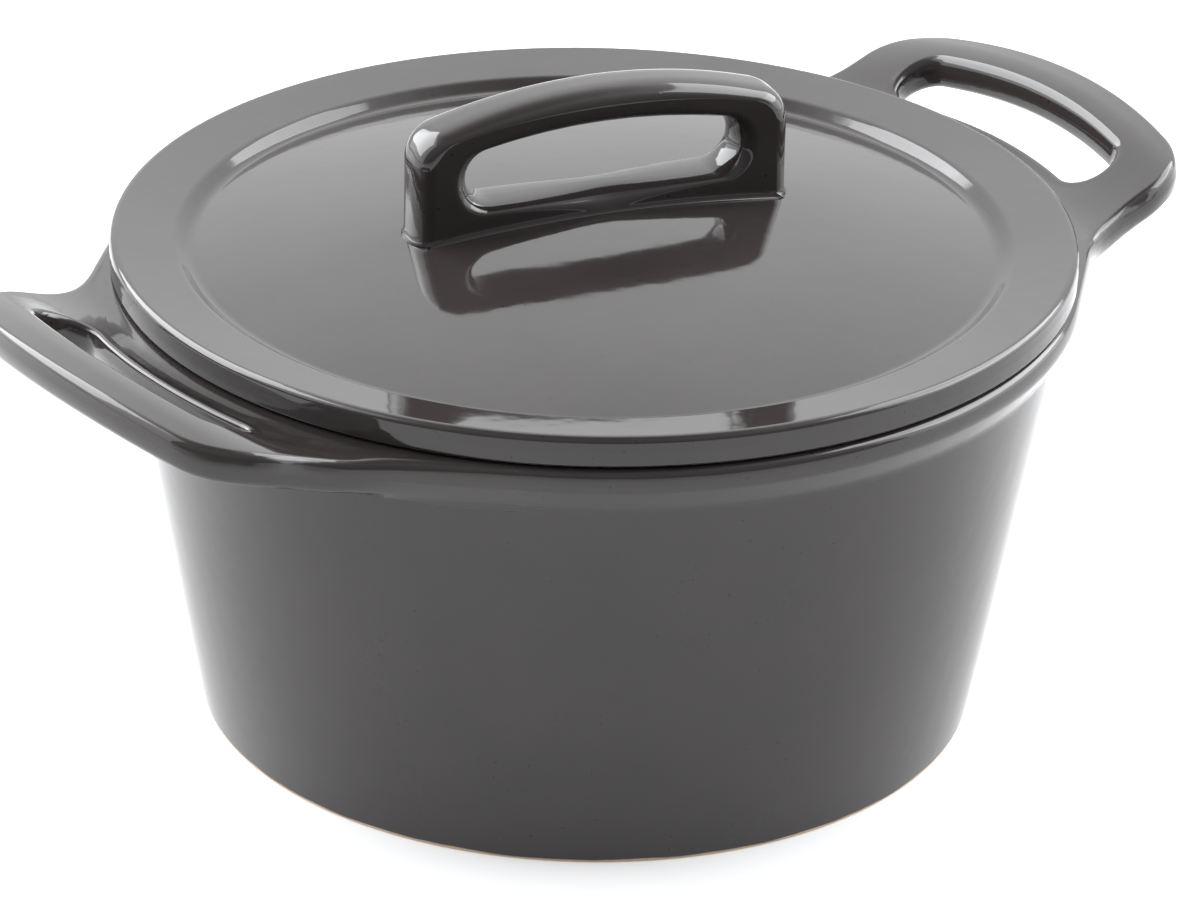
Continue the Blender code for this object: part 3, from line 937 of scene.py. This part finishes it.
class DUTCHOVEN_OT_grip(bpy.types.Operator):
    """Builds the bridge grip on the lid"""

    bl_idname = "dutch_oven.grip"
    bl_label = "Build Grip"

    def execute(self, context):
        scene = context.scene
        lid = scene.oven_lid
        mesh = BridgeGrip(scene.oven_grip, lid).mesh()
        place = Matrix.Translation((0.0, 0.0, lid.seat + lid.dome_top))
        mesh.transform(place @ Matrix.Rotation(lid.turn, 4, "Z"))
        material = glaze_material("grip_glaze_skin", scene.oven_glaze, GRIP_SHIFT)
        put("grip_skin", mesh, material, "lid", "lid_handle")
        return {"FINISHED"}


class DUTCHOVEN_OT_stage(bpy.types.Operator):
    """Sets up the floor, the light and the camera"""

    bl_idname = "dutch_oven.stage"
    bl_label = "Build Stage"

    def execute(self, context):
        look = context.scene.oven_stage
        add_floor(look)
        add_light(look)
        add_camera(look)
        context.scene.view_settings.view_transform = "Standard"
        return {"FINISHED"}


FLOOR_REACH = 6.0  # middle of the floor to its sides
FLOOR_ROUGHNESS = 0.9
SKY = (  # sine of the height over the horizon, radiance
    (0.0, 1.2),
    (0.14, 1.45),
    (0.31, 1.8),
    (0.5, 2.15),
    (0.69, 2.45),
    (0.83, 2.3),
    (0.93, 0.7),
    (1.0, 0.2),
)
SKY_STRENGTH = 4.0  # brightest value that the ramp of the sky can hold
FRONT_TO_BACK = (-0.6, 0.3)  # stretch over which the light grows to full, 1 being straight behind
SOFTBOXES = (  # name, turn from straight behind and rise in degrees, width, height, radiance
    ("left_fill", -82.0, 30.0, 2.4, 2.0, 1.8),
    ("left_softbox", -68.0, 34.0, 1.75, 1.45, 6.0),
    ("right_fill", 78.0, 18.0, 2.0, 1.2, 2.2),
    ("right_softbox", 70.0, 38.0, 1.7, 1.35, 5.0),
)
CLIP = (0.05, 50.0)  # nearest and farthest that the camera sees


def add_floor(look):
    """A wide pale floor."""
    bm = bmesh.new()
    bmesh.ops.create_grid(bm, x_segments=1, y_segments=1, size=FLOOR_REACH)
    mesh = bpy.data.meshes.new("floor")
    bm.to_mesh(mesh)
    bm.free()
    material = bpy.data.materials.new("pale_floor")
    material.use_nodes = True
    tree = material.node_tree
    feed(tree, tree.nodes["Principled BSDF"], {
        "Base Color": (*look.floor, 1.0),
        "Roughness": FLOOR_ROUGHNESS,
        "Specular IOR Level": 0.0,
        "Emission Color": (1.0, 1.0, 1.0, 1.0),
        "Emission Strength": look.floor_glow,
    })
    mesh.materials.append(material)
    floor = bpy.data.objects.new("floor", mesh)
    bpy.context.scene.collection.objects.link(floor)


def add_light(look):
    """A studio: a pale wall of light behind the object, softboxes on both sides, and little in front."""
    world = bpy.data.worlds.new("studio")
    bpy.context.scene.world = world
    world.use_nodes = True
    tree = world.node_tree
    heading = add_node(tree, "ShaderNodeTexCoord").outputs["Generated"]
    height = add_node(tree, "ShaderNodeSeparateXYZ", {"Vector": heading}).outputs["Z"]
    sky = add_node(tree, "ShaderNodeValToRGB", {"Fac": height})
    sky.color_ramp.interpolation = "B_SPLINE"
    while len(sky.color_ramp.elements) < len(SKY):
        sky.color_ramp.elements.new(0.5)
    for stop, (position, value) in zip(sky.color_ramp.elements, SKY):
        stop.position = position
        stop.color = (*[value / SKY_STRENGTH * c for c in look.tint], 1.0)
    behind = (math.sin(look.azimuth), math.cos(look.azimuth), 0.0)
    away = add_node(tree, "ShaderNodeVectorMath", {0: heading, 1: behind}, operation="DOT_PRODUCT")
    grown = (look.front_light, 1.0)
    share = ranged(tree, away.outputs["Value"], FRONT_TO_BACK, grown, interpolation_type="SMOOTHSTEP")
    light = {"Vector": sky.outputs["Color"], "Scale": share}
    dimmed = add_node(tree, "ShaderNodeVectorMath", light, operation="SCALE").outputs["Vector"]
    feed(tree, tree.nodes["Background"], {"Color": dimmed, "Strength": SKY_STRENGTH})
    for box in SOFTBOXES:
        add_softbox(look, *box)


def add_softbox(look, name, turn, rise, width, height, radiance):
    """A flat rectangular light that faces the object."""
    data = bpy.data.lights.new(name, "AREA")
    data.shape = "RECTANGLE"
    data.size = width
    data.size_y = height
    data.energy = radiance * math.pi * width * height
    data.color = look.tint
    turn, rise = look.azimuth + math.radians(turn), math.radians(rise)
    heading = Vector((math.sin(turn) * math.cos(rise), math.cos(turn) * math.cos(rise), math.sin(rise)))
    lamp = bpy.data.objects.new(name, data)
    place = heading * look.light_distance + Vector((0.0, 0.0, CAD_BOX[1].z / 2.0))
    lamp.matrix_world = Matrix.Translation(place) @ heading.to_track_quat("Z", "Y").to_matrix().to_4x4()
    bpy.context.scene.collection.objects.link(lamp)


def add_camera(look):
    """The camera that took the photograph, solved from the ellipses of the pot, in the part's own frame."""
    data = bpy.data.cameras.new("camera")
    data.sensor_width = SENSOR
    data.lens = look.focal / IMAGE_WIDTH * SENSOR
    data.clip_start, data.clip_end = CLIP
    up = Vector((0.0, 0.0, 1.0))
    level = math.cos(look.elevation)
    ahead = Vector((math.sin(look.yaw) * level, math.cos(look.yaw) * level, -math.sin(look.elevation)))
    right = ahead.cross(up).normalized()
    down = ahead.cross(right).normalized()
    across = math.cos(look.roll) * right + math.sin(look.roll) * down
    upright = math.sin(look.roll) * right - math.cos(look.roll) * down
    turn = Matrix.Rotation(-look.azimuth, 3, "Z")
    facing = Matrix((across, upright, -ahead)).transposed()
    camera = bpy.data.objects.new("camera", data)
    place = turn @ Vector((0.0, -look.distance, look.camera_height))
    camera.matrix_world = Matrix.Translation(place) @ (turn @ facing).to_4x4()
    bpy.context.scene.collection.objects.link(camera)
    bpy.context.scene.camera = camera


class DUTCHOVEN_PT_panel(bpy.types.Panel):
    """Lists the sizes and the steps of the build"""

    bl_idname = "DUTCHOVEN_PT_panel"
    bl_label = "Dutch Oven"
    bl_space_type = "VIEW_3D"
    bl_region_type = "UI"
    bl_category = "Dutch Oven"

    def draw(self, context):
        for operator in OPERATORS:
            self.layout.operator(operator.bl_idname)
        for attribute, group in GROUPS.items():
            box = self.layout.box()
            box.label(text=group.__doc__)
            for name in group.__annotations__:
                box.prop(getattr(context.scene, attribute), name)


GROUPS = {
    "oven_pot": PotSizes,
    "oven_handle": HandleSizes,
    "oven_lid": LidSizes,
    "oven_grip": GripSizes,
    "oven_glaze": GlazeLook,
    "oven_stage": StageLook,
}
OPERATORS = (DUTCHOVEN_OT_pot, DUTCHOVEN_OT_lid, DUTCHOVEN_OT_grip, DUTCHOVEN_OT_stage)


def register():
    for attribute, group in GROUPS.items():
        bpy.utils.register_class(group)
        setattr(bpy.types.Scene, attribute, bpy.props.PointerProperty(type=group))
    for one in (*OPERATORS, DUTCHOVEN_PT_panel):
        bpy.utils.register_class(one)


def unregister():
    for one in (DUTCHOVEN_PT_panel, *reversed(OPERATORS)):
        bpy.utils.unregister_class(one)
    for attribute, group in reversed(GROUPS.items()):
        delattr(bpy.types.Scene, attribute)
        bpy.utils.unregister_class(group)


def main():
    register()
    bpy.ops.dutch_oven.pot()
    bpy.ops.dutch_oven.lid()
    bpy.ops.dutch_oven.grip()
    bpy.ops.dutch_oven.stage()


if __name__ == "__main__":
    main()
